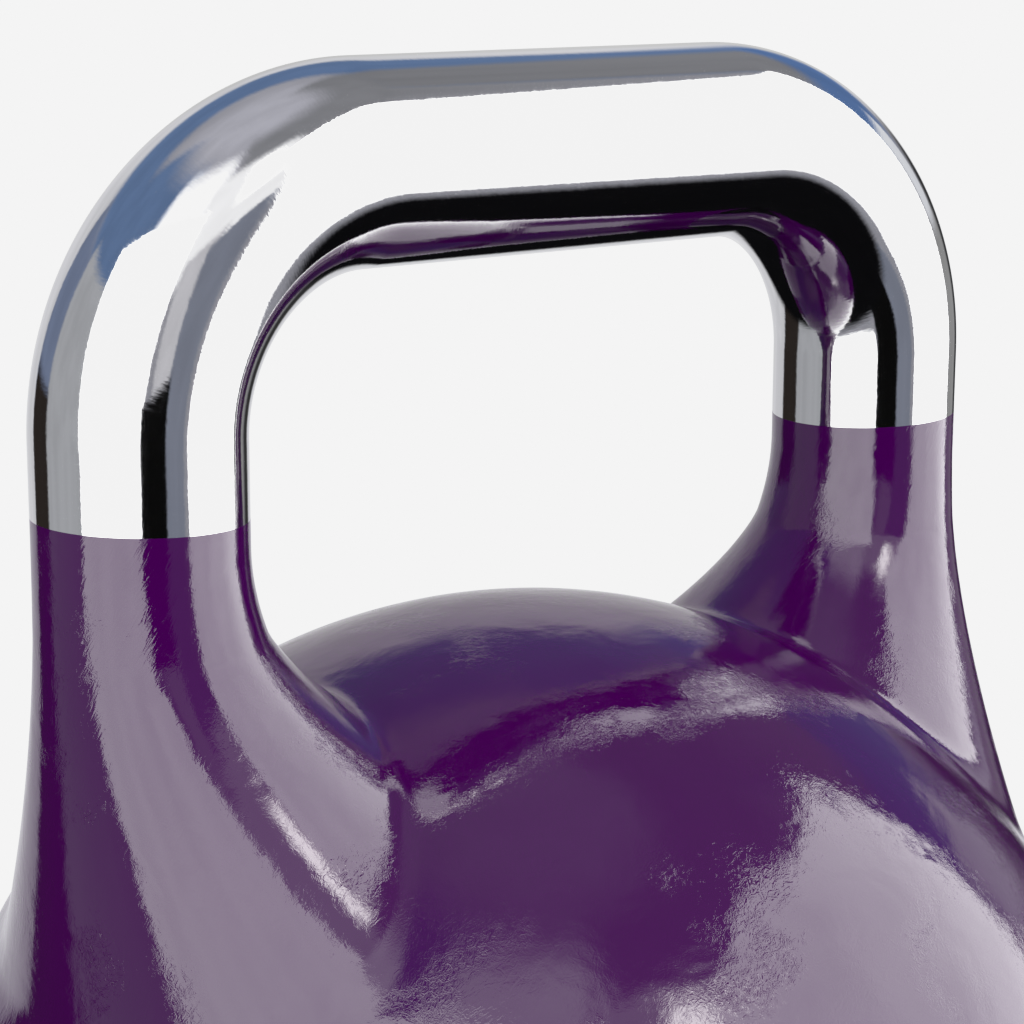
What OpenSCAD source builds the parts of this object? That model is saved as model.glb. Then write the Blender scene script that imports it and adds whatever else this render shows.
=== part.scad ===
// Competition kettlebell of the standard outer size. A hollow cast-steel ball grows two horns,
// a chrome-plated round bar is bent into the handle and welded into the horns, and a threaded
// plug closes the core hole in the base, through which the trim ballast was poured.
// Millimetres, +Z up, the origin at the middle of the base on the floor.

/* [Ball] */
// Diameter of the ball
ball_d = 210; // [208:0.5:214]
// Height of the ball's centre over the floor
ball_centre_h = 82.5; // [81:0.5:86]
// Thickness of the cast wall
wall_t = 18.5; // [17:0.5:21]
// Thickness of the casting's floor
floor_t = 20; // [18:0.5:24]

/* [Handle] */
// Height over the top of the handle
total_h = 280; // [277:0.5:284]
// Width over the two legs of the handle
handle_w = 185; // [183:0.5:187]
// Diameter of the grip
grip_d = 33; // [31:0.5:35]
// Radius of the bends, to the bar's centre line
bend_r = 39.2; // [37:0.1:42]
// Diameter of the spigot turned on the end of each leg
spigot_d = 22; // [20:0.5:24]
// Length of each spigot
spigot_l = 32; // [26:1:36]

/* [Joint between handle and horn] */
// Height of the joint on the leg's centre line
seam_h = 212.7; // [210:0.1:216]
// Tilt of the joint's plane, whose outer side is the higher one
seam_tilt = 2; // [0:0.5:4]
// Leg length of the groove weld's triangular section
weld_leg = 4; // [3:0.5:5]

/* [Horns] */
// Height at which the horns start to widen
flare_start_h = 201; // [200:0.5:202]
// Height over which that start is spread out, half of it above and half below
flare_start_l = 14; // [8:1:16]
// Depth under the start at which the growths below are reached
flare_depth = 50; // [49:0.5:53]
// Growth of the radius on the leg's side, which widens a horn along Y
flare_leg = 34.6; // [31:0.2:36]
// Growth of the web that reaches towards the hand window
flare_web = 71; // [66:1:73]
// Growth of the radius at the web's tip
flare_tip = 9.4; // [6:0.2:12]
// Growth of a horn on its outer side
flare_outer = 0.3; // [0:0.1:0.6]
// Power of the depth that the growths follow
flare_power = 1.7; // [1.6:0.05:1.75]

/* [Base] */
// Diameter of the shallow recess inside the ground ring
recess_d = 96; // [88:1:104]
// Depth of that recess
recess_h = 3; // [2:0.5:3.5]
// Thread diameter of the plug
plug_d = 36; // [32:1:40]
// Diameter of the plug's flange
flange_d = 45; // [43:1:48]
// Thickness of the flange
flange_t = 4; // [3:0.5:5]
// Thickness of the sealing washer
washer_t = 1.5; // [1:0.25:2]
// Size across the flats of the plug's hex socket
hex_af = 17; // [14:1:19]
// Depth of the hex socket
hex_depth = 10; // [7:0.5:11]

/* [Ballast] */
// Height of the layer of steel shot and resin
ballast_h = 7.8; // [4:0.1:12]
// Gap between the ballast and the plug
ballast_gap = 6; // [4:1:10]

/* [Hidden] */
$fn = 96;

ball_r = ball_d / 2;
cavity_r = ball_r - wall_t;
grip_r = grip_d / 2;
leg_x = (handle_w - grip_d) / 2;
bar_h = total_h - grip_r;
bend_start_h = bar_h - bend_r;
bar_half_l = leg_x - bend_r;
spigot_chamfer = 1.5;
socket_end_gap = 1;

// Lofted horns: corners in a ring, rings, and the height of the sunk root
horn_corners = 60;
horn_rings = 14;
horn_root_h = 130;

counterbore_gap = 0.5;
plug_seat_h = recess_h + flange_t + washer_t;
plug_top_h = floor_t + 1;
plug_chamfer = 1.5;

// Cutting tools reach this far past what they cut, and the largest is this wide
past = 1;
cutter = 400;

purple_paint = [0.24, 0.02, 0.30];

// Places its children on the right-hand leg and mirrored on the left-hand one
module on_both_legs() {
    for (side = [0, 1]) {
        mirror([side, 0, 0]) translate([leg_x, 0, 0]) children();
    }
}

// Places its children in the tilted plane of the joint, which is their z = 0
module on_seam() {
    translate([0, 0, seam_h]) rotate([0, -seam_tilt, 0]) children();
}

// Everything within reach of one leg on the upper side of the joint's plane
module above_seam() {
    on_seam() translate([-2 * grip_d, -2 * grip_d, 0]) cube([4 * grip_d, 4 * grip_d, total_h]);
}

// Half-V section round one leg, square on top, that reaches out past the grip's radius or ends at it
module half_v_ring(reach) {
    on_seam() rotate_extrude() {
        polygon([[grip_r - weld_leg, 0], [grip_r + reach, 0], [grip_r + reach, -weld_leg - reach]]);
    }
}

// Depth at a height under the flare's start, in flare depths, with the start spread out
function flare_at(z) =
    let (fall = max(flare_start_h + flare_start_l / 2 - z, 0))
    (fall < flare_start_l ? fall * fall / (2 * flare_start_l) : fall - flare_start_l / 2) / flare_depth;

// One ring of a horn at a height: the hull of a wide circle on the leg's side and a small one at the
// web's tip. Each corner is where the hull faces that corner's direction, so all rings match.
function horn_ring(z) =
    let (
        depth = flare_at(z),
        growth = pow(depth, flare_power),
        leg_r = grip_r + flare_leg * growth,
        leg_c = flare_outer * depth * depth - flare_leg * growth,
        tip_r = grip_r + flare_tip * depth,
        tip_c = tip_r - grip_r - flare_web * growth
    )
    [for (k = [0 : horn_corners - 1])
        let (
            a = 360 * k / horn_corners,
            on_leg = leg_c * cos(a) + leg_r >= tip_c * cos(a) + tip_r,
            c = on_leg ? leg_c : tip_c,
            r = on_leg ? leg_r : tip_r
        )
        [c + r * cos(a), r * sin(a), z]
    ];

// A horn's outside on its leg's axis, lofted through the rings and closed at both ends
module horn() {
    flare_top_h = flare_start_h + flare_start_l / 2;
    rings = concat(
        [horn_ring(seam_h + weld_leg)],
        [for (i = [0 : horn_rings])
            horn_ring(flare_top_h - (flare_top_h - horn_root_h) * i / horn_rings)
        ]
    );
    last = len(rings) - 1;
    points = [for (ring = rings) each ring];
    sides = [for (j = [0 : last - 1], k = [0 : horn_corners - 1])
        let (
            a = j * horn_corners + k,
            b = j * horn_corners + (k + 1) % horn_corners
        )
        each [[a, b, b + horn_corners], [a, b + horn_corners, a + horn_corners]]
    ];
    top = [[for (k = [horn_corners - 1 : -1 : 0]) k]];
    root = [[for (k = [0 : horn_corners - 1]) last * horn_corners + k]];
    polyhedron(points = points, faces = concat(top, sides, root), convexity = 4);
}

// The cast hollow, with a flat floor
module cavity() {
    intersection() {
        translate([0, 0, ball_centre_h]) sphere(r = cavity_r);
        translate([-ball_r, -ball_r, floor_t]) cube([ball_d, ball_d, ball_d]);
    }
}

// Cast-steel ball with its horns, hollow, ground flat underneath and painted
module body_shell() {
    color(purple_paint) difference() {
        union() {
            translate([0, 0, ball_centre_h]) sphere(r = ball_r);
            on_both_legs() horn();
        }
        translate([-cutter / 2, -cutter / 2, -cutter]) cube([cutter, cutter, cutter]);
        cavity();
        on_both_legs() {
            above_seam();
            half_v_ring(past);
            translate([0, 0, seam_h - spigot_l - socket_end_gap]) {
                cylinder(d = spigot_d, h = spigot_l + weld_leg);
            }
        }
        translate([0, 0, -past]) cylinder(d = recess_d, h = recess_h + past);
        translate([0, 0, -past]) {
            cylinder(d = flange_d + 2 * counterbore_gap, h = plug_seat_h + past);
        }
        translate([0, 0, -past]) cylinder(d = plug_d, h = floor_t + 2 * past);
    }
}

// A quarter turn of the bar, from the straight grip down to the leg
module handle_bend() {
    translate([-bend_r, 0, bend_start_h]) rotate([90, 0, 0]) {
        rotate_extrude(angle = 90) translate([bend_r, 0]) circle(r = grip_r);
    }
}

// Spigot turned on the end of a leg, with a lead-in chamfer
module spigot() {
    translate([0, 0, seam_h - spigot_l]) {
        cylinder(d1 = spigot_d - 2 * spigot_chamfer, d2 = spigot_d, h = spigot_chamfer);
        translate([0, 0, spigot_chamfer]) cylinder(d = spigot_d, h = spigot_l);
    }
}

// Chrome-plated round bar, bent to the handle and turned down at both ends
module handle_bar() {
    color("gainsboro") union() {
        translate([-bar_half_l, 0, bar_h]) rotate([0, 90, 0]) {
            cylinder(r = grip_r, h = 2 * bar_half_l);
        }
        on_both_legs() {
            handle_bend();
            intersection() {
                translate([0, 0, seam_h - weld_leg]) {
                    cylinder(r = grip_r, h = bend_start_h - seam_h + weld_leg);
                }
                above_seam();
            }
            spigot();
        }
    }
}

// The groove welds that join the two legs to the horns, ground flush
module horn_welds() {
    color("dimgray") on_both_legs() half_v_ring(0);
}

// Steel shot set in resin on the cavity's floor, round the plug: it trims the weight
module shot_ballast() {
    color("slategray") difference() {
        intersection() {
            cavity();
            cylinder(r = ball_r, h = floor_t + ballast_h);
        }
        cylinder(r = plug_d / 2 + ballast_gap, h = floor_t + ballast_h + past);
    }
}

// Threaded steel plug with a flange and a hex socket
module base_plug() {
    color("silver") difference() {
        union() {
            translate([0, 0, recess_h]) cylinder(d = flange_d, h = flange_t);
            translate([0, 0, recess_h]) {
                cylinder(d = plug_d, h = plug_top_h - plug_chamfer - recess_h);
            }
            translate([0, 0, plug_top_h - plug_chamfer]) {
                cylinder(d1 = plug_d, d2 = plug_d - 2 * plug_chamfer, h = plug_chamfer);
            }
        }
        translate([0, 0, recess_h - past]) {
            cylinder(d = hex_af / cos(30), h = hex_depth + past, $fn = 6);
        }
    }
}

// Sealing washer pressed between the plug's flange and its seat
module plug_washer() {
    color([0.1, 0.1, 0.1]) translate([0, 0, recess_h + flange_t]) difference() {
        cylinder(d = flange_d, h = washer_t);
        translate([0, 0, -past]) cylinder(d = plug_d, h = washer_t + 2 * past);
    }
}

body_shell();
handle_bar();
horn_welds();
shot_ballast();
base_plug();
plug_washer();
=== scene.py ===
# Competition kettlebell: looks. Every length is in metres unless its name ends in _MM.
import math

import bmesh
import bpy
import numpy as np
from mathutils import Euler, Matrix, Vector


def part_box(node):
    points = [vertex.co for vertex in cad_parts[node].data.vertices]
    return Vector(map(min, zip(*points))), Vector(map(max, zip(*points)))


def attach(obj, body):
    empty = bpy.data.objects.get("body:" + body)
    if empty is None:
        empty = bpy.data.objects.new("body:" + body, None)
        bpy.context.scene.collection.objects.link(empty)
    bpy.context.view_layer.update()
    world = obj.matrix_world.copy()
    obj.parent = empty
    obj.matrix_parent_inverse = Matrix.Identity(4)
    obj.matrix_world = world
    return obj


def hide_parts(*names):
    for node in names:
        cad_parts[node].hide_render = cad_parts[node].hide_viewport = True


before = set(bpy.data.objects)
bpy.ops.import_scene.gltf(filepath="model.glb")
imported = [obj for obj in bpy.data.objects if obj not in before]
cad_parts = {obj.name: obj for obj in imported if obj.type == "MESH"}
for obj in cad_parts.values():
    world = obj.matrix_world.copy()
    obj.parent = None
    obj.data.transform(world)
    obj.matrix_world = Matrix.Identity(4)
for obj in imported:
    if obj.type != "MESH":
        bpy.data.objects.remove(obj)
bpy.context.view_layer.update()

# ---------------------------------------------------------------- sizes that the CAD model has too
handle_lo, handle_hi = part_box("handle_bar")
_, weld_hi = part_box("horn_welds")
plug_lo, plug_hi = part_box("base_plug")
washer_lo, washer_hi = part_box("plug_washer")
body_lo, body_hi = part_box("body_shell")

MM = 0.001
GRIP_R = handle_hi.y
LEG_X = handle_hi.x - GRIP_R
BAR_Z = handle_hi.z - GRIP_R
BEND_R = 39.2 * MM
BEND_Z = BAR_Z - BEND_R
BAR_HALF_L = LEG_X - BEND_R
SPIGOT_R = 11 * MM
SPIGOT_CHAMFER = 1.5 * MM
SOCKET_END_GAP = 1 * MM
SEAM_TILT = math.radians(2)
SEAM_Z = weld_hi.z - GRIP_R * math.sin(SEAM_TILT)
BALL_R = round(body_hi.y, 3)
BALL_Z = 82.5 * MM
WALL_T = 18.5 * MM
FLOOR_T = 20 * MM
RECESS_R = 48 * MM
RECESS_H = plug_lo.z
FLANGE_R = plug_hi.x
SEAT_R = FLANGE_R + 0.5 * MM
SEAT_Z = washer_hi.z
PLUG_R = 18 * MM
PLUG_CHAMFER = 1.5 * MM
HEX_FLAT = 8.5 * MM
HEX_DEPTH = 10 * MM


# ---------------------------------------------------------------- mesh helpers
def add_object(name, data):
    """A new object in the scene, for a mesh or a camera."""
    piece = bpy.data.objects.new(name, data)
    bpy.context.scene.collection.objects.link(piece)
    return piece


def mesh_object(name, points, faces):
    """A new smooth object from points and lists of corners."""
    mesh = bpy.data.meshes.new(name)
    mesh.from_pydata([tuple(p) for p in points], [], faces)
    mesh.validate()
    for polygon in mesh.polygons:
        polygon.use_smooth = True
    return add_object(name, mesh)


def sharpen(bm, degrees):
    """Turns the faces outwards and marks the edges sharp that bend by more than an angle."""
    bmesh.ops.recalc_face_normals(bm, faces=bm.faces)
    for edge in bm.edges:
        if len(edge.link_faces) == 2 and edge.calc_face_angle(0) > math.radians(degrees):
            edge.smooth = False


def ring_quads(rings, corners):
    """Faces between rings that all have the same number of corners."""
    return [
        (
            j * corners + k,
            j * corners + (k + 1) % corners,
            (j + 1) * corners + (k + 1) % corners,
            (j + 1) * corners + k,
        )
        for j in range(rings - 1)
        for k in range(corners)
    ]


def end_caps(rings, corners):
    """The two flat faces that close a row of rings."""
    last = (rings - 1) * corners
    return [tuple(range(corners))[::-1], tuple(last + k for k in range(corners))]


def surface_net(field, lo, hi, step):
    """Quads on the zero surface of a field, one point in each cell that the surface crosses."""
    counts = [int(math.ceil((h - l) / step)) + 1 for l, h in zip(lo, hi)]
    axes = [l + step * np.arange(n) for l, n in zip(lo, counts)]
    grid = np.stack(np.meshgrid(*axes, indexing="ij"), -1)
    value = np.empty(counts)
    for i in range(counts[0]):
        value[i] = field(grid[i])
    inside = value < 0
    cells = np.array(counts) - 1
    total = np.zeros((*cells, 3))
    hits = np.zeros(cells, int)
    crossings = []
    for axis in range(3):
        first = [slice(None)] * 3
        second = [slice(None)] * 3
        first[axis] = slice(0, -1)
        second[axis] = slice(1, None)
        first, second = tuple(first), tuple(second)
        where = np.argwhere(inside[first] != inside[second])
        key = tuple(where.T)
        f0, f1 = value[first][key], value[second][key]
        point = where.astype(float)
        point[:, axis] += f0 / (f0 - f1)
        b, c = (axis + 1) % 3, (axis + 2) % 3
        around = []
        for db, dc in ((0, 0), (-1, 0), (-1, -1), (0, -1)):
            cell = where.copy()
            cell[:, b] += db
            cell[:, c] += dc
            around.append(cell)
            ok = np.all((cell >= 0) & (cell < cells), axis=1)
            np.add.at(total, tuple(cell[ok].T), point[ok])
            np.add.at(hits, tuple(cell[ok].T), 1)
        crossings.append((np.stack(around, 1), inside[first][key]))
    index = np.full(cells, -1)
    used = hits > 0
    index[used] = np.arange(used.sum())
    points = np.array(lo) + step * total[used] / hits[used][:, None]
    quads = []
    for around, starts_inside in crossings:
        ok = np.all((around >= 0) & (around < cells), axis=(1, 2))
        quad = index[tuple(np.moveaxis(around[ok], -1, 0))]
        flip = ~starts_inside[ok]
        quad[flip] = quad[flip][:, ::-1]
        quads.append(quad)
    return points, np.concatenate(quads)


GRADIENT_REACH = 0.02 * MM


def gradient(field, points):
    """Gradient of a field by central differences."""
    out = np.empty_like(points)
    for axis in range(3):
        step = np.zeros(3)
        step[axis] = GRADIENT_REACH
        out[:, axis] = (field(points + step) - field(points - step)) / (2 * GRADIENT_REACH)
    return out


def onto_surface(field, points, rounds=4):
    """Moves points along the gradient until they lie on the field's zero surface."""
    for _ in range(rounds):
        g = gradient(field, points)
        points = points - g * (field(points) / (g * g).sum(1))[:, None]
    return points


# ---------------------------------------------------------------- the painted body's outside
# The horns widen downwards from here; each growth is reached one flare depth under the start
FLARE_START_Z = 201 * MM
FLARE_START_L = 14 * MM
FLARE_DEPTH = 50 * MM
FLARE_LEG = 34.6 * MM
FLARE_WEB = 71 * MM
FLARE_TIP = 9.4 * MM
FLARE_OUTER = 0.3 * MM
FLARE_POWER = 1.7
DEEPEST_FLARE = 1.3
STEEPEST_WEB = 1.6
TIP_GAP = 0.02 * MM
HORN_ROOT_Z = 126 * MM
HORN_BLEND = 3 * MM


def smooth_min(a, b, width):
    """The lesser of two distances, rounded off where they differ by less than a width."""
    near = np.maximum(width - np.abs(a - b), 0) / width
    return np.minimum(a, b) - near ** 3 * width / 6


def flare_at(z):
    """Depth under the start of the flare in flare depths, with the start spread out."""
    fall = np.maximum(FLARE_START_Z + FLARE_START_L / 2 - z, 0)
    early = fall * fall / (2 * FLARE_START_L)
    spread = np.where(fall < FLARE_START_L, early, fall - FLARE_START_L / 2)
    return np.minimum(spread / FLARE_DEPTH, DEEPEST_FLARE)


def body_field(p):
    """Ball and horns in one skin, less than 0 inside.

    Each level section of a horn is the hull of two circles.
    """
    ball = np.sqrt(p[..., 0] ** 2 + p[..., 1] ** 2 + (p[..., 2] - BALL_Z) ** 2) - BALL_R
    x, y, z = np.abs(p[..., 0]), np.abs(p[..., 1]), p[..., 2]
    depth = flare_at(z)
    growth = depth**FLARE_POWER
    leg_r = GRIP_R + FLARE_LEG * growth
    leg_c = LEG_X + FLARE_OUTER * depth**2 - FLARE_LEG * growth
    tip_r = GRIP_R + FLARE_TIP * depth
    tip_c = LEG_X + tip_r - GRIP_R - FLARE_WEB * growth
    length = np.maximum(leg_c - tip_c, np.abs(leg_r - tip_r) + TIP_GAP)
    lean = (leg_r - tip_r) / length
    rise = np.sqrt(1 - lean**2)
    inward = leg_c - x
    along = rise * inward - lean * y
    flank = rise * y + lean * inward - leg_r
    section = np.where(along < 0, np.hypot(inward, y) - leg_r, flank)
    section = np.where(along > rise * length, np.hypot(inward - length, y) - tip_r, section)
    # Towards the web the surface leans, so the distance within a level section is too long there
    slope = FLARE_WEB * FLARE_POWER / FLARE_DEPTH * depth ** (FLARE_POWER - 1)
    slope = np.minimum(slope, STEEPEST_WEB) * np.clip(inward / np.maximum(length, MM), 0, 1)
    horn = np.maximum(section / np.sqrt(1 + slope**2), HORN_ROOT_Z - z)
    return smooth_min(ball, horn, HORN_BLEND)


BODY_STEP = 1.2 * MM
BODY_MARGIN = 3 * MM
SEAM_MARGIN = 4 * MM
BODY_CUT_Z = 9 * MM
BODY_SHARP_DEG = 35
# A height between the base and the joints, and a distance from the middle that only a leg is past
SPLIT_Z = 0.1
LEG_SIDE_X = 0.04

WAVE_SEED = 7
WAVE_COUNT = 40
WAVE_HEIGHT = 0.012 * MM
WAVE_LENGTHS_MM = (12, 32)
MIDDLE_WAVE = 20 * MM
WAVE_FADE_START = 2 * MM
WAVE_FADE_L = 12 * MM


def cast_waves(points):
    """Low swells of the cast and hand-ground surface: a fixed sum of plane waves."""
    rng = np.random.default_rng(WAVE_SEED)
    out = np.zeros(len(points))
    for _ in range(WAVE_COUNT):
        direction = rng.normal(size=3)
        direction /= np.linalg.norm(direction)
        length = rng.uniform(*WAVE_LENGTHS_MM) * MM
        phase = rng.uniform(0, 2 * math.pi)
        wave = np.sin(points @ direction * (2 * math.pi / length) + phase)
        out += wave * length / MIDDLE_WAVE
    return out * WAVE_HEIGHT / math.sqrt(WAVE_COUNT / 2)


def boundary_loop(bm, near):
    """The points on the open edge near a place, in no order."""
    return {v for e in bm.edges if e.is_boundary for v in e.verts if near(v.co)}


def close_loop(bm, loop, axis_x, rings):
    """Closes an open edge with rings about a vertical axis.

    A ring is (radius, z, slope), and the last one, whose radius is 0, is a point.
    """
    previous = sorted(loop, key=lambda v: math.atan2(v.co.y, v.co.x - axis_x))
    angles = [math.atan2(v.co.y, v.co.x - axis_x) for v in previous]
    for radius, z, slope in rings[:-1]:
        ring = [
            bm.verts.new(
                (
                    axis_x + radius * math.cos(a),
                    radius * math.sin(a),
                    z + slope * radius * math.cos(a),
                )
            )
            for a in angles
        ]
        for i in range(len(ring)):
            j = (i + 1) % len(ring)
            bm.faces.new((previous[i], previous[j], ring[j], ring[i]))
        previous = ring
    centre = bm.verts.new((axis_x, 0, rings[-1][1]))
    for i, v in enumerate(previous):
        bm.faces.new((v, previous[(i + 1) % len(previous)], centre))


def arc(centre_r, centre_z, radius, start_deg, end_deg, steps):
    """Points (r, z, 0) of an arc in the half plane of a lathe."""
    out = []
    for i in range(steps + 1):
        a = math.radians(start_deg + (end_deg - start_deg) * i / steps)
        out.append((centre_r + radius * math.cos(a), centre_z + radius * math.sin(a), 0))
    return out


BASE_FILLET = 1.2 * MM
BASE_EDGE = 0.6 * MM
EDGE_SUPPORT = 0.4 * MM
RECESS_SUPPORT = 0.5 * MM
BALL_FOOT_STEPS = 6
BALL_FOOT_PAST_DEG = 1.2
FILLET_STEPS = 8
EDGE_STEPS = 6
CAVITY_STEPS = 30
CAVITY_TOP_DEG = 88


def base_rings():
    """The outline from the cut under the ball, round the base and up through the cavity."""
    edge_r = math.sqrt(BALL_R**2 - BALL_Z**2)
    lean = math.degrees(math.atan2(-BALL_Z, edge_r))
    cut_angle = math.degrees(math.asin((BODY_CUT_Z - BALL_Z) / BALL_R))
    rings = []
    for i in range(1, BALL_FOOT_STEPS + 1):
        turn = (lean + BALL_FOOT_PAST_DEG - cut_angle) * i / BALL_FOOT_STEPS
        a = math.radians(cut_angle + turn)
        rings.append((BALL_R * math.cos(a), BALL_Z + BALL_R * math.sin(a), 0))
    # A small round between the ball and the ground ring, tangent to both
    round_z = BASE_FILLET
    round_r = math.sqrt((BALL_R - BASE_FILLET) ** 2 - (BALL_Z - round_z) ** 2)
    touch = math.degrees(math.atan2(round_z - BALL_Z, round_r))
    touch_z = round_z + BASE_FILLET * math.sin(math.radians(touch))
    rings = [ring for ring in rings if ring[1] > touch_z + 0.1 * MM]
    rings += arc(round_r, round_z, BASE_FILLET, touch, -90, FILLET_STEPS)
    rings.append((round_r - EDGE_SUPPORT, 0, 0))
    rings.append((RECESS_R + BASE_EDGE + EDGE_SUPPORT, 0, 0))
    rings += arc(RECESS_R + BASE_EDGE, BASE_EDGE, BASE_EDGE, -90, -180, EDGE_STEPS)
    rings += arc(RECESS_R - BASE_EDGE, RECESS_H - BASE_EDGE, BASE_EDGE, 0, 90, EDGE_STEPS)
    rings.append((RECESS_R - BASE_EDGE - RECESS_SUPPORT, RECESS_H, 0))
    rings.append((SEAT_R + BASE_EDGE + EDGE_SUPPORT, RECESS_H, 0))
    rings += arc(SEAT_R + BASE_EDGE, RECESS_H + BASE_EDGE, BASE_EDGE, -90, -180, EDGE_STEPS)
    rings.append((SEAT_R, SEAT_Z, 0))
    rings.append((PLUG_R, SEAT_Z, 0))
    rings.append((PLUG_R, FLOOR_T, 0))
    cavity_r = BALL_R - WALL_T
    floor_angle = math.degrees(math.asin((FLOOR_T - BALL_Z) / cavity_r))
    rings += arc(0, BALL_Z, cavity_r, floor_angle, CAVITY_TOP_DEG, CAVITY_STEPS)
    rings.append((0, BALL_Z + cavity_r, 0))
    return rings


def painted_body():
    """Ball and horns with sockets, ground base, plug's seat and cavity, in one closed mesh."""
    lo = (body_lo.x - BODY_MARGIN, body_lo.y - BODY_MARGIN, BODY_CUT_Z - BODY_MARGIN)
    hi = (body_hi.x + BODY_MARGIN, body_hi.y + BODY_MARGIN, SEAM_Z + SEAM_MARGIN)
    points, quads = surface_net(body_field, lo, hi, BODY_STEP)
    points = onto_surface(body_field, points)
    normal = gradient(body_field, points)
    normal /= np.linalg.norm(normal, axis=1)[:, None]
    # The swells fade out at the joint and at the base, where the surface is machined
    fade = np.clip((SEAM_Z - WAVE_FADE_START - points[:, 2]) / WAVE_FADE_L, 0, 1)
    fade *= np.clip((points[:, 2] - BODY_CUT_Z - WAVE_FADE_START) / WAVE_FADE_L, 0, 1)
    points = points + normal * (cast_waves(points) * fade)[:, None]

    bm = bmesh.new()
    verts = [bm.verts.new(p) for p in points]
    for quad in quads:
        bm.faces.new([verts[i] for i in quad])
    cuts = [((0, 0, BODY_CUT_Z), (0, 0, -1), lambda c: c.z < BODY_CUT_Z + 20 * MM)]
    for side in (-1, 1):
        up = (-side * math.sin(SEAM_TILT), 0, math.cos(SEAM_TILT))
        place = (side * LEG_X, 0, SEAM_Z)
        cuts.append(
            (place, up, lambda c, s=side: s * c.x > LEG_SIDE_X and c.z > SEAM_Z - 10 * MM)
        )
    for place, outward, near in cuts:
        faces = [f for f in bm.faces if near(f.calc_center_median())]
        edges = {e for f in faces for e in f.edges}
        corners = {v for f in faces for v in f.verts}
        bmesh.ops.bisect_plane(
            bm,
            geom=[*faces, *edges, *corners],
            dist=1e-6,
            plane_co=place,
            plane_no=outward,
            clear_outer=True,
        )
    rims = [e for e in bm.edges if e.is_boundary and e.verts[0].co.z > SPLIT_Z]
    slope = math.tan(SEAM_TILT)
    socket_z = handle_lo.z - SOCKET_END_GAP
    for side in (-1, 1):
        loop = boundary_loop(bm, lambda c, s=side: s * c.x > LEG_SIDE_X and c.z > SPLIT_Z)
        rings = [
            (SPIGOT_R, SEAM_Z, side * slope),
            (SPIGOT_R, socket_z, 0),
            (0, socket_z, 0),
        ]
        close_loop(bm, loop, side * LEG_X, rings)
    loop = boundary_loop(bm, lambda c: c.z < SPLIT_Z)
    close_loop(bm, loop, 0, base_rings())
    for edge in rims:
        edge.smooth = False
    for face in bm.faces:
        face.smooth = True
    sharpen(bm, BODY_SHARP_DEG)
    mesh = bpy.data.meshes.new("painted_body")
    bm.to_mesh(mesh)
    bm.free()
    return add_object("painted_body", mesh)


# ---------------------------------------------------------------- the chrome handle
HANDLE_CORNERS = 192
HANDLE_SHARP_DEG = 35
LEG_STEPS = 6
BEND_STEPS = 60
STRAIGHT_STEP = 2 * MM


def handle_stations():
    """Centre, axis angle, radius and slope of each ring, from the right spigot to the left one."""
    slope = math.tan(SEAM_TILT)
    end_z = handle_lo.z
    right = [
        (LEG_X, end_z, 0, SPIGOT_R - SPIGOT_CHAMFER, 0),
        (LEG_X, end_z + SPIGOT_CHAMFER, 0, SPIGOT_R, 0),
        (LEG_X, SEAM_Z, 0, SPIGOT_R, slope),
        (LEG_X, SEAM_Z, 0, GRIP_R, slope),
    ]
    for i in range(1, LEG_STEPS + 1):
        z = SEAM_Z + (BEND_Z - SEAM_Z) * i / LEG_STEPS
        right.append((LEG_X, z, 0, GRIP_R, slope * (1 - i / LEG_STEPS)))
    for i in range(1, BEND_STEPS + 1):
        a = math.radians(90) * i / BEND_STEPS
        x = LEG_X - BEND_R + BEND_R * math.cos(a)
        z = BEND_Z + BEND_R * math.sin(a)
        right.append((x, z, a, GRIP_R, 0))
    count = int(BAR_HALF_L / STRAIGHT_STEP)
    for i in range(1, count):
        right.append((BAR_HALF_L * (1 - i / count), BAR_Z, math.pi / 2, GRIP_R, 0))
    left = [(-x, z, math.pi - a, r, -s) for x, z, a, r, s in right]
    middle = [(0, BAR_Z, math.pi / 2, GRIP_R, 0)]
    return right + middle + left[::-1]


def chrome_handle():
    """The bent bar with its turned-down ends, swept as rings."""
    points = []
    stations = handle_stations()
    for x, z, turn, radius, slope in stations:
        # A ring's own X axis points up on the bar and, on the right leg, away from the window
        out_x, out_z = math.cos(turn), math.sin(turn)
        for k in range(HANDLE_CORNERS):
            a = 2 * math.pi * k / HANDLE_CORNERS
            across = radius * math.cos(a)
            height = z + across * out_z + slope * across * out_x
            points.append((x + across * out_x, radius * math.sin(a), height))
    faces = ring_quads(len(stations), HANDLE_CORNERS) + end_caps(len(stations), HANDLE_CORNERS)
    piece = mesh_object("chrome_handle", points, faces)
    bm = bmesh.new()
    bm.from_mesh(piece.data)
    sharpen(bm, HANDLE_SHARP_DEG)
    bm.to_mesh(piece.data)
    bm.free()
    return piece


# ---------------------------------------------------------------- plug and washer in the base
LATHE_CORNERS = 144
LATHE_SHARP_DEG = 28
SAME_PLACE = 1e-7


def lathe(name, rings):
    """A closed solid of revolution.

    A ring is (radius, z), or (function of angle, z) where the outline isn't round.
    """
    points = []
    for radius, z in rings:
        for k in range(LATHE_CORNERS):
            a = 2 * math.pi * k / LATHE_CORNERS
            r = radius(a) if callable(radius) else radius
            points.append((r * math.cos(a), r * math.sin(a), z))
    faces = ring_quads(len(rings), LATHE_CORNERS)
    if rings[0] != rings[-1]:
        faces += end_caps(len(rings), LATHE_CORNERS)
    piece = mesh_object(name, points, faces)
    bm = bmesh.new()
    bm.from_mesh(piece.data)
    bmesh.ops.remove_doubles(bm, verts=bm.verts, dist=SAME_PLACE)
    sharpen(bm, LATHE_SHARP_DEG)
    bm.to_mesh(piece.data)
    bm.free()
    return piece


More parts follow.
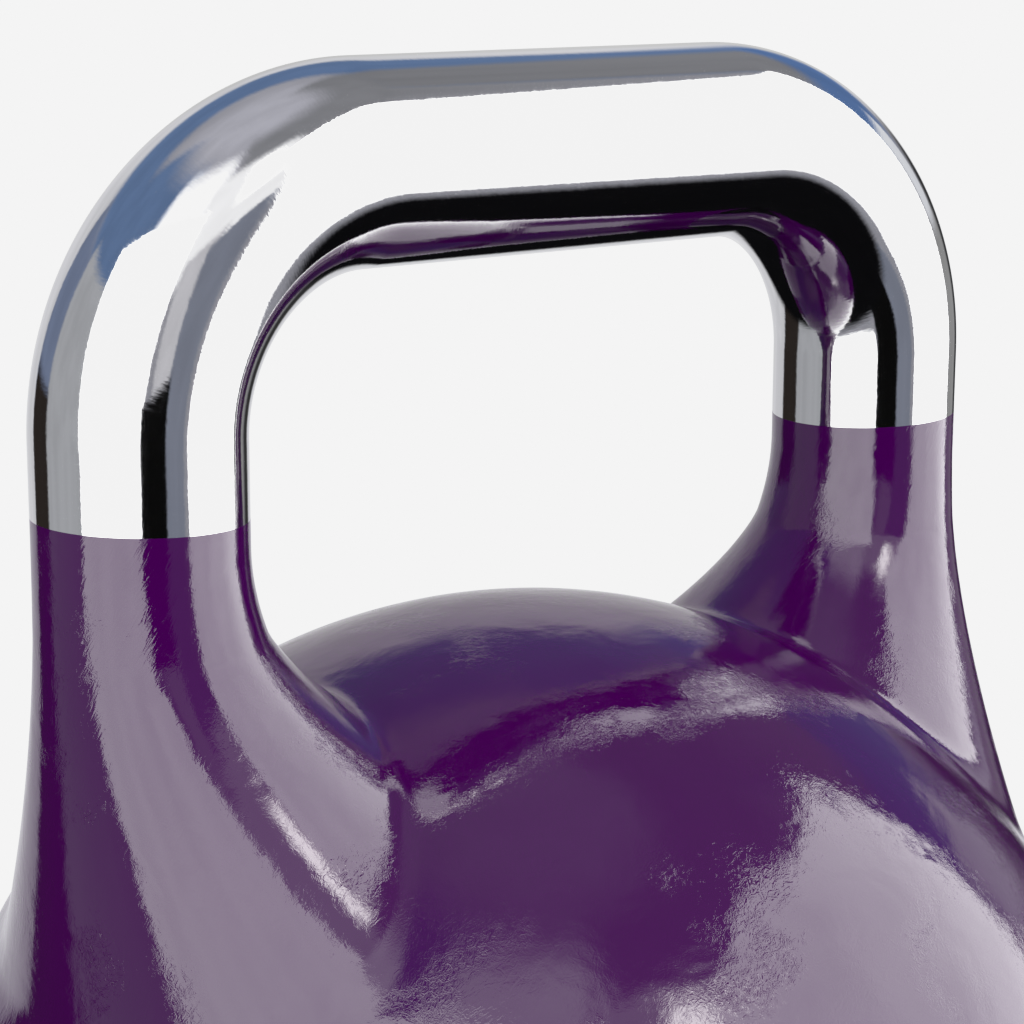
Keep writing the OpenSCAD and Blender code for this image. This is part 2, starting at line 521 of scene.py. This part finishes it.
def hexagon(flat):
    """Radius of a hexagon at an angle, from its half width over the flats."""
    sixth = math.pi / 3
    return lambda a: flat / math.cos((a % sixth) - sixth / 2)


DRILL_CENTRE_R = 0.2 * MM
DRILL_R = 5.0 * MM
DRILL_RISE = 1.4 * MM
SOCKET_END = 1.5 * MM
HEX_CHAMFER = 0.9 * MM
GROOVE_R = 15.0 * MM
GROOVE_HALF_W = 0.5 * MM
GROOVE_DEPTH = 0.45 * MM
FLANGE_EDGE = 0.6 * MM
FLANGE_BREAK = 0.3 * MM
THREAD_PITCH = 1.5 * MM
THREAD_DEPTH = 0.85 * MM
THREAD_START = 0.4 * MM


def detailed_plug():
    """Plug with a chamfered flange, a turned groove, a drilled hex socket and a cut thread."""
    z0 = plug_lo.z
    flange_top = washer_lo.z
    rings = [
        (DRILL_CENTRE_R, z0 + HEX_DEPTH),
        (DRILL_R, z0 + HEX_DEPTH - DRILL_RISE),
        (hexagon(HEX_FLAT), z0 + HEX_DEPTH - SOCKET_END),
        (hexagon(HEX_FLAT), z0 + HEX_CHAMFER),
        (hexagon(HEX_FLAT + HEX_CHAMFER), z0),
        (GROOVE_R - GROOVE_HALF_W, z0),
        (GROOVE_R, z0 + GROOVE_DEPTH),
        (GROOVE_R + GROOVE_HALF_W, z0),
        (FLANGE_R - FLANGE_EDGE, z0),
        (FLANGE_R, z0 + FLANGE_EDGE),
        (FLANGE_R, flange_top - FLANGE_BREAK),
        (FLANGE_R - FLANGE_BREAK, flange_top),
        (PLUG_R, flange_top),
    ]
    z = SEAT_Z + THREAD_START
    top = plug_hi.z - PLUG_CHAMFER
    rings.append((PLUG_R, z))
    while z + THREAD_PITCH < top:
        rings.append((PLUG_R - THREAD_DEPTH, z + THREAD_PITCH / 2))
        rings.append((PLUG_R, z + THREAD_PITCH))
        z += THREAD_PITCH
    rings.append((PLUG_R, top))
    rings.append((PLUG_R - PLUG_CHAMFER, plug_hi.z))
    return lathe("hex_plug", rings)


WASHER_BULGE = 0.25 * MM
WASHER_STEPS = 8


def detailed_washer():
    """Washer with rounded edges that bulges a little where it is squeezed."""
    z0, z1 = washer_lo.z, washer_hi.z
    middle = (z0 + z1) / 2
    outer = washer_hi.x
    rings = []
    for i in range(WASHER_STEPS + 1):
        a = math.pi * (i / WASHER_STEPS - 0.5)
        r = outer - WASHER_BULGE + WASHER_BULGE * math.cos(a)
        rings.append((r, middle + (z1 - z0) / 2 * math.sin(a)))
    rings += [(PLUG_R, z1), (PLUG_R, z0), rings[0]]
    return lathe("seal_washer", rings)


# ---------------------------------------------------------------- materials
class Nodes:
    """Short ways to add and link shader nodes."""

    def __init__(self, tree):
        self.tree = tree
        tree.nodes.clear()

    def feed(self, socket, value):
        """Links a socket to another one, or sets it to a value."""
        if isinstance(value, bpy.types.NodeSocket):
            self.tree.links.new(value, socket)
        else:
            socket.default_value = value

    def add(self, kind, inputs=None, **settings):
        node = self.tree.nodes.new(kind)
        for key, value in settings.items():
            setattr(node, key, value)
        for key, value in (inputs or {}).items():
            self.feed(node.inputs[key], value)
        return node

    def math(self, operation, a, b=None):
        inputs = {0: a} if b is None else {0: a, 1: b}
        return self.add("ShaderNodeMath", inputs, operation=operation).outputs[0]

    def vector(self, x, y, z):
        return self.add("ShaderNodeCombineXYZ", {0: x, 1: y, 2: z}).outputs[0]

    def split(self, vector):
        return self.add("ShaderNodeSeparateXYZ", {"Vector": vector}).outputs

    def ramp(self, value, lo, hi, to_lo=0.0, to_hi=1.0):
        """Runs smoothly from one value to another between two limits."""
        node = self.add(
            "ShaderNodeMapRange",
            {0: value, 1: lo, 2: hi, 3: to_lo, 4: to_hi},
            interpolation_type="SMOOTHSTEP",
        )
        return node.outputs[0]

    def noise(self, vector, scale, detail=2.0, roughness=0.5, distortion=0.0):
        inputs = {"Vector": vector, "Scale": scale, "Detail": detail, "Roughness": roughness}
        inputs["Distortion"] = distortion
        return self.add("ShaderNodeTexNoise", inputs).outputs["Fac"]

    def ridge(self, noise):
        """Creases where a noise crosses its middle value."""
        return self.math("ABSOLUTE", self.math("SUBTRACT", noise, 0.5))

    def bump(self, height, distance, normal=None):
        inputs = {"Height": height, "Distance": distance, "Strength": 1.0}
        if normal is not None:
            inputs["Normal"] = normal
        return self.add("ShaderNodeBump", inputs).outputs["Normal"]

    def mix_colour(self, factor, a, b):
        node = self.add("ShaderNodeMix", data_type="RGBA")
        self.feed(node.inputs[0], factor)
        self.feed(node.inputs[6], a)
        self.feed(node.inputs[7], b)
        return node.outputs[2]


def empty_material(name):
    """A new material and its nodes."""
    material = bpy.data.materials.new(name)
    material.use_nodes = True
    return material, Nodes(material.node_tree)


def new_material(name):
    """A new material, its nodes and the place on the object that its patterns are laid by."""
    material, n = empty_material(name)
    return material, n, n.add("ShaderNodeTexCoord").outputs["Object"]


def finish_material(n, shader):
    n.add("ShaderNodeOutputMaterial", {"Surface": shader.outputs[0]})


# Bump heights are in metres and noise scales are per metre
PAINT_COLOUR = (0.0500, 0.0002, 0.0735, 1)
PAINT_CLOUD_COLOUR = (PAINT_COLOUR[0] * 1.15, PAINT_COLOUR[1], PAINT_COLOUR[2] * 1.12, 1)
SWELL_BUMP = 0.00016
CREASE_BUMP = 0.00015
HAIR_BUMP = 0.00007
GRAIN_BUMP = 0.000004
HAIR_TILT = (0.35, 0.45, 0.0)
HAIR_STRETCH = 7.0


def paint_material():
    """Gloss purple over a cast, hand-ground surface: long swells, creases and drawn-out hairs."""
    material, n, place = new_material("purple_gloss_paint")
    swell = n.noise(place, 110.0, detail=2.0, roughness=0.45, distortion=0.4)
    crease = n.ridge(n.noise(place, 600.0, detail=2.0, roughness=0.55, distortion=2.6))
    creased = n.ramp(n.noise(place, 62.0, detail=2.0, roughness=0.5), 0.54, 0.74, 0.12, 1.0)
    drawn = n.add(
        "ShaderNodeMapping",
        {"Vector": place, "Rotation": HAIR_TILT, "Scale": (1.0, 1.0, HAIR_STRETCH)},
        vector_type="TEXTURE",
    ).outputs[0]
    hair = n.ridge(n.noise(drawn, 800.0, detail=2.0, distortion=1.2))
    hairy = n.ramp(n.noise(place, 45.0, detail=2.0), 0.46, 0.66, 0.08, 1.0)
    grain = n.noise(place, 2100.0, detail=2.0, roughness=0.55)
    normal = n.bump(swell, SWELL_BUMP)
    normal = n.bump(n.math("MULTIPLY", crease, creased), CREASE_BUMP, normal)
    normal = n.bump(n.math("MULTIPLY", hair, hairy), HAIR_BUMP, normal)
    normal = n.bump(grain, GRAIN_BUMP, normal)
    cloud = n.noise(place, 40.0, detail=3.0)
    shader = n.add(
        "ShaderNodeBsdfPrincipled",
        {
            "Base Color": n.mix_colour(cloud, PAINT_COLOUR, PAINT_CLOUD_COLOUR),
            "Roughness": n.ramp(n.noise(place, 420.0, detail=3.0), 0.3, 0.7, 0.012, 0.03),
            "IOR": 1.5,
            "Normal": normal,
        },
    )
    finish_material(n, shader)
    return material


CHROME_COLOUR = (0.62, 0.62, 0.625, 1)
POLISH_BUMP = 0.000016
MARK_BUMP = 0.000006
FINE_BUMP = 0.000002
# How fast the polishing marks change round the bar, where their change along it is 1 more
MARK_STRETCH = 0.3


def along_bar(n, place):
    """Distance along the bent bar from its middle, less than 0 on the left."""
    x, y, z = n.split(place)
    across = n.math("ABSOLUTE", x)
    turn = n.math(
        "ARCTAN2",
        n.math("MAXIMUM", n.math("SUBTRACT", across, BAR_HALF_L), 0.0),
        n.math("MAXIMUM", n.math("SUBTRACT", z, BEND_Z), 0.0),
    )
    bar_and_bend = n.math(
        "ADD", n.math("MINIMUM", across, BAR_HALF_L), n.math("MULTIPLY", turn, BEND_R)
    )
    leg = n.math("MAXIMUM", n.math("SUBTRACT", BEND_Z, z), 0.0)
    return n.math("MULTIPLY", n.math("ADD", bar_and_bend, leg), n.math("SIGN", x))


def chrome_material():
    """Bright chrome over a polished bar, whose marks break up the edges of reflections."""
    material, n, place = new_material("chrome_plate")
    slow = n.add("ShaderNodeVectorMath", {0: place, 3: MARK_STRETCH}, operation="SCALE").outputs[0]
    drawn = n.add(
        "ShaderNodeVectorMath",
        {0: n.vector(along_bar(n, place), 0.0, 0.0), 1: slow},
        operation="ADD",
    )
    normal = n.bump(n.noise(place, 260.0, detail=3.0, roughness=0.55), POLISH_BUMP)
    normal = n.bump(n.noise(drawn.outputs[0], 1500.0, detail=2.0), MARK_BUMP, normal)
    normal = n.bump(n.noise(place, 2200.0, detail=2.0), FINE_BUMP, normal)
    shader = n.add(
        "ShaderNodeBsdfPrincipled",
        {
            "Base Color": CHROME_COLOUR,
            "Metallic": 1.0,
            "Roughness": n.ramp(n.noise(place, 700.0, detail=3.0), 0.3, 0.7, 0.035, 0.06),
            "Normal": normal,
        },
    )
    finish_material(n, shader)
    return material


LATHE_RING_PITCH = 0.25 * MM


def turned_steel_material():
    """Zinc-plated turned steel with fine rings from the lathe."""
    material, n, place = new_material("turned_steel")
    x, y, _ = n.split(place)
    radius = n.math("SQRT", n.math("ADD", n.math("POWER", x, 2), n.math("POWER", y, 2)))
    rings = n.math("SINE", n.math("MULTIPLY", radius, 2 * math.pi / LATHE_RING_PITCH))
    blotch = n.noise(place, 160.0, detail=4.0)
    normal = n.bump(rings, 0.000004)
    normal = n.bump(blotch, 0.00001, normal)
    shader = n.add(
        "ShaderNodeBsdfPrincipled",
        {
            "Base Color": n.mix_colour(blotch, (0.36, 0.36, 0.37, 1), (0.46, 0.46, 0.46, 1)),
            "Metallic": 1.0,
            "Roughness": n.ramp(blotch, 0.3, 0.7, 0.22, 0.38),
            "Normal": normal,
        },
    )
    finish_material(n, shader)
    return material


def rubber_material():
    """Matt black seal rubber."""
    material, n, place = new_material("seal_rubber")
    grain = n.noise(place, 1800.0, detail=3.0)
    shader = n.add(
        "ShaderNodeBsdfPrincipled",
        {
            "Base Color": n.mix_colour(grain, (0.012, 0.012, 0.013, 1), (0.03, 0.03, 0.031, 1)),
            "Roughness": n.ramp(grain, 0.3, 0.7, 0.6, 0.85),
            "Normal": n.bump(grain, 0.00002),
        },
    )
    finish_material(n, shader)
    return material


def shot_material():
    """Steel shot set in dark resin."""
    material, n, place = new_material("shot_in_resin")
    balls = n.add("ShaderNodeTexVoronoi", {"Vector": place, "Scale": 450.0, "Randomness": 0.8})
    height = n.ramp(balls.outputs["Distance"], 0.0, 0.6, 1.0, 0.0)
    shader = n.add(
        "ShaderNodeBsdfPrincipled",
        {
            "Base Color": n.mix_colour(height, (0.015, 0.013, 0.012, 1), (0.32, 0.32, 0.33, 1)),
            "Metallic": n.ramp(height, 0.3, 0.6),
            "Roughness": n.ramp(height, 0.0, 1.0, 0.55, 0.3),
            "Normal": n.bump(height, 0.0008),
        },
    )
    finish_material(n, shader)
    return material


# ---------------------------------------------------------------- studio: world, floor, camera
GREY = (1.0, 1.0, 1.0)
SILVER = (1.0, 1.01, 1.09)
COOL = (0.93, 0.95, 1.0)
BLUE = (0.36, 0.56, 1.0)

# Walls and lights, each laid over those before it: colour, radiance on the chrome, bearing of the
# middle, half the width, lowest and highest edge, softness of the edges. Angles are in degrees.
FAR_WALLS = (
    (SILVER, 0.19, 60, 72, 50, 72, 6),  # upper wall, right
    ((1.0, 1.0, 1.04), 0.50, 155, 38, -60, 31, 2),  # pale wall, behind on the right
    (BLUE, 0.27, -175, 95, 29, 54, 4),  # blue band, behind
    (BLUE, 0.27, -100, 45, 29, 68, 8),  # blue band, left
    ((0.97, 0.97, 1.0), 1.5, -45, 26, 43, 65, 7),  # light on the ceiling over the left softbox
    (COOL, 0.34, -117, 24, -60, 33, 2.5),  # wall, left
    ((0.55, 0.67, 1.0), 0.24, -154, 14, -2, 29, 2.5),  # blue-grey wall, behind on the left
    ((1.0, 0.8, 0.7), 0.02, -153, 14, -60, 1, 2),  # dark foot of that wall
    (SILVER, 0.175, 108, 18, 28, 58, 4),  # upper wall, far right
    ((0.27, 0.48, 1.0), 0.28, 110, 22, 12, 31, 4),  # blue band, far right
    (GREY, 0.22, 98, 12, -40, 4, 3),  # low wall beside the right softbox
    (COOL, 0.60, 98, 8, 3, 17, 2),  # pale panel over it
    (GREY, 0.025, 116, 7, -40, 8, 4),  # dark gap behind it
    (GREY, 0.42, 143, 16, -8, 18, 5),  # wall, behind on the right
    ((0.98, 0.98, 1.0), 0.95, -3, 22, 23, 55, 4),  # light on the ceiling, front
    ((0.96, 0.95, 1.0), 0.49, -11, 10, 0, 28, 2),  # wall between the softboxes
)
# The same, with how far the upright edges lean to the left as they rise. They hide the softboxes
NEAR_WALLS = (
    ((0.74, 0.80, 1.0), 0.22, 5, 10.5, -30, 25, 1.5, 0.06),  # screen between the softboxes
    (GREY, 0.003, -17, 13, -50, 0, 1.5, 0.1),  # black shape to its left
    ((1.0, 0.98, 0.96), 9.5, 4, 5.5, 38, 51, 4, 0.0),  # lamp over it
)
CEILING_LOW = 0.245
CEILING_HIGH = 0.38
CEILING_BLUE = 1.12
# Radiance, bearing and the rise of the left part over the right one
LEFT_BOX = (3.1, -61, 0.0)
RIGHT_BOX = (3.3, 53, 0.28)
# A softbox in the plane one unit ahead: half width at eye level and its growth with height, lower
# and upper edge, where the left part steps down to the right one, and the softness of its edges
BOX_HALF_W = 0.66
BOX_SPREAD = 0.17
BOX_BOTTOM = -0.45
BOX_TOP = 1.22
BOX_STEP = (-0.05, 0.28)
BOX_SIDE_SOFT = 0.03
BOX_END_SOFT = 0.035
# Parts of the direction towards a softbox between which it fades in, so none shows behind
BOX_AHEAD = (0.02, 0.1)
STUDIO_FLOOR = (0.003, 0.003, 0.0035)
DOME_LOW = 0.80
DOME_HIGH = 1.10
DOME_FRONT = 1.16
DOME_BACK = 0.52
BACKDROP = 1.2


def studio_world():
    """A studio drawn by direction, for mirrors. Diffuse light comes from a plain soft dome."""
    world = bpy.data.worlds.new("studio")
    bpy.context.scene.world = world
    world.use_nodes = True
    n = Nodes(world.node_tree)
    direction = n.add("ShaderNodeTexCoord").outputs["Generated"]
    x, y, z = n.split(direction)
    height = n.math("MULTIPLY", n.math("ARCSINE", z), 180 / math.pi)
    # Radiances are as seen on the chrome, so its own colour is divided out
    scale = 1 / CHROME_COLOUR[0]

    def bearing(centre):
        """Parts of the direction along and to the right of a bearing: 0 is -Y and 90 is +X."""
        a = math.radians(centre)
        sin, cos = math.sin(a), math.cos(a)
        ahead = n.math("ADD", n.math("MULTIPLY", x, sin), n.math("MULTIPLY", y, -cos))
        aside = n.math("ADD", n.math("MULTIPLY", x, cos), n.math("MULTIPLY", y, sin))
        return ahead, aside

    def inside(value, lo, hi, soft):
        """1 between two limits, 0 outside, with soft edges."""
        up = n.ramp(value, lo - soft, lo + soft)
        down = n.ramp(value, hi - soft, hi + soft, 1.0, 0.0)
        return n.math("MULTIPLY", up, down)

    def patch(under, colour, radiance, centre, half_width, lowest, highest, soft, lean=0.0):
        """Lays a wall or light over what is under it."""
        ahead, aside = bearing(centre)
        angle = n.math("MULTIPLY", n.math("ARCTAN2", aside, ahead), 180 / math.pi)
        if lean:
            angle = n.math("ADD", angle, n.math("MULTIPLY", height, lean))
        wide = inside(angle, -half_width, half_width, soft)
        mask = n.math("MULTIPLY", wide, inside(height, lowest, highest, soft))
        return n.mix_colour(mask, under, (*(c * radiance * scale for c in colour), 1))

    def softbox(under, radiance, centre, rise):
        """A flat box light, seen in perspective. Its left part reaches higher by the rise."""
        ahead, aside = bearing(centre)
        safe = n.math("MAXIMUM", ahead, BOX_AHEAD[0])
        u = n.math("DIVIDE", aside, safe)
        v = n.math("DIVIDE", z, safe)
        width = n.math("ADD", n.math("MULTIPLY", v, BOX_SPREAD), BOX_HALF_W)
        edge = n.math("SUBTRACT", width, n.math("ABSOLUTE", u))
        over = n.math("SUBTRACT", v, n.ramp(u, *BOX_STEP, BOX_TOP + rise, BOX_TOP))
        tall = n.math(
            "MULTIPLY",
            n.ramp(v, BOX_BOTTOM - BOX_END_SOFT, BOX_BOTTOM + BOX_END_SOFT),
            n.ramp(over, -BOX_END_SOFT, BOX_END_SOFT, 1.0, 0.0),
        )
        mask = n.math("MULTIPLY", n.ramp(edge, -BOX_SIDE_SOFT, BOX_SIDE_SOFT), tall)
        mask = n.math("MULTIPLY", mask, n.ramp(ahead, *BOX_AHEAD))
        return n.mix_colour(mask, under, (*(radiance * scale,) * 3, 1))

    ceiling = n.ramp(height, 40.0, 85.0, CEILING_LOW * scale, CEILING_HIGH * scale)
    sky = n.vector(ceiling, ceiling, n.math("MULTIPLY", ceiling, CEILING_BLUE))
    for wall in FAR_WALLS:
        sky = patch(sky, *wall)
    sky = softbox(sky, *LEFT_BOX)
    sky = softbox(sky, *RIGHT_BOX)
    for wall in NEAR_WALLS:
        sky = patch(sky, *wall)
    floor_mask = n.ramp(height, -32.0, -26.0, 1.0, 0.0)
    studio = n.mix_colour(floor_mask, sky, (*(c * scale for c in STUDIO_FLOOR), 1))
    uneven = n.ramp(n.noise(direction, 5.0, detail=4.0), 0.3, 0.7, 0.94, 1.06)
    studio = n.add("ShaderNodeVectorMath", {0: studio, 3: uneven}, operation="SCALE").outputs[0]
    dome = n.ramp(height, -40.0, 40.0, DOME_LOW, DOME_HIGH)
    dome = n.math("MULTIPLY", dome, n.ramp(y, -1.0, 1.0, DOME_FRONT, DOME_BACK))
    rays = n.add("ShaderNodeLightPath")
    seen = n.mix_colour(rays.outputs["Is Diffuse Ray"], studio, n.vector(dome, dome, dome))
    seen = n.mix_colour(rays.outputs["Is Camera Ray"], seen, (BACKDROP, BACKDROP, BACKDROP, 1))
    background = n.add("ShaderNodeBackground", {"Color": seen, "Strength": 1.0})
    n.add("ShaderNodeOutputWorld", {"Surface": background.outputs[0]})
    world.cycles.sampling_method = "NONE"


FLOOR_HALF_W = 30.0
FLOOR_GLOW_START = 0.20
FLOOR_GLOW_END = 0.36


def studio_floor():
    """A pale floor that brightens into the backdrop, seen from above only and in no mirror."""
    w = FLOOR_HALF_W
    corners = [(-w, -w, 0), (w, -w, 0), (w, w, 0), (-w, w, 0)]
    piece = mesh_object("studio_floor", corners, [(0, 1, 2, 3)])
    material, n = empty_material("pale_floor")
    geometry = n.add("ShaderNodeNewGeometry")
    place = geometry.outputs["Position"]
    distance = n.add("ShaderNodeVectorMath", {0: place}, operation="LENGTH").outputs["Value"]
    fade = n.ramp(distance, FLOOR_GLOW_START, FLOOR_GLOW_END)
    grain = n.noise(place, 90.0, detail=4.0)
    colour = n.mix_colour(grain, (0.80, 0.80, 0.80, 1), (0.84, 0.84, 0.84, 1))
    matt = n.add("ShaderNodeBsdfDiffuse", {"Color": colour, "Normal": n.bump(grain, 0.0002)})
    glow = n.add("ShaderNodeEmission", {"Color": (1, 1, 1, 1), "Strength": BACKDROP})
    lit = n.add("ShaderNodeMixShader", {0: fade, 1: matt.outputs[0], 2: glow.outputs[0]})
    clear = n.add("ShaderNodeBsdfTransparent")
    shown = n.add(
        "ShaderNodeMixShader",
        {0: geometry.outputs["Backfacing"], 1: lit.outputs[0], 2: clear.outputs[0]},
    )
    finish_material(n, shown)
    piece.data.materials.append(material)
    piece.visible_glossy = False
    piece.visible_diffuse = False
    piece.visible_shadow = False


CAMERA_AZIMUTH = math.radians(-38.06)
CAMERA_ELEVATION = math.radians(12.15)
CAMERA_ROLL = math.radians(0.15)
CAMERA_DISTANCE = 0.46749
CAMERA_TARGET = Vector((-0.00522, 0, 0.20418))
CAMERA_LENS_MM = 99.14
SENSOR_MM = 36


def photo_camera():
    """Close, slightly high view over the left horn."""
    data = bpy.data.cameras.new("camera")
    data.sensor_width = SENSOR_MM
    data.lens = CAMERA_LENS_MM
    data.clip_start = 0.01
    data.clip_end = 60
    camera = add_object("camera", data)
    a, e = CAMERA_AZIMUTH, CAMERA_ELEVATION
    back = Vector((math.sin(a) * math.cos(e), -math.cos(a) * math.cos(e), math.sin(e)))
    camera.location = CAMERA_TARGET + back * CAMERA_DISTANCE
    camera.rotation_mode = "QUATERNION"
    level = (-back).to_track_quat("-Z", "Y")
    camera.rotation_quaternion = level @ Euler((0, 0, CAMERA_ROLL)).to_quaternion()
    bpy.context.scene.camera = camera


# Scene light and the film's answer to it
FILM_SHOULDER = ((0.70, 0.70), (1.00, 0.855), (1.20, 0.9065), (3.1, 0.8905))
FILM_END = (8.0, 0.8905)


def film_response():
    """Plain contrast up to a short shoulder, which keeps backdrop and softboxes under white."""
    settings = bpy.context.scene.view_settings
    settings.view_transform = "Standard"
    settings.look = "None"
    settings.use_curve_mapping = True
    mapping = settings.curve_mapping
    mapping.use_clip = False
    mapping.clip_max_x = FILM_END[0]
    curve = mapping.curves[3]
    # The two end points exist already, and the last one is moved before the others are added
    curve.points[0].location = (0.0, 0.0)
    curve.points[-1].location = FILM_END
    for place in FILM_SHOULDER:
        curve.points.new(*place)
    for point in curve.points:
        point.handle_type = "VECTOR"
    mapping.update()


# ---------------------------------------------------------------- put together
photo_camera()
studio_world()
studio_floor()
film_response()

pieces = [
    (painted_body(), ("body_shell", "horn_welds"), "purple_paint", paint_material()),
    (chrome_handle(), ("handle_bar",), "chrome_plate", chrome_material()),
    (detailed_plug(), ("base_plug",), "plug_steel", turned_steel_material()),
    (detailed_washer(), ("plug_washer",), "washer_rubber", rubber_material()),
]
for piece, nodes, slot, material in pieces:
    piece.data.materials.clear()
    piece.data.materials.append(material)
    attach(piece, "root")
    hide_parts(*nodes)

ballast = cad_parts["shot_ballast"]
ballast.data.materials.clear()
ballast.data.materials.append(shot_material())
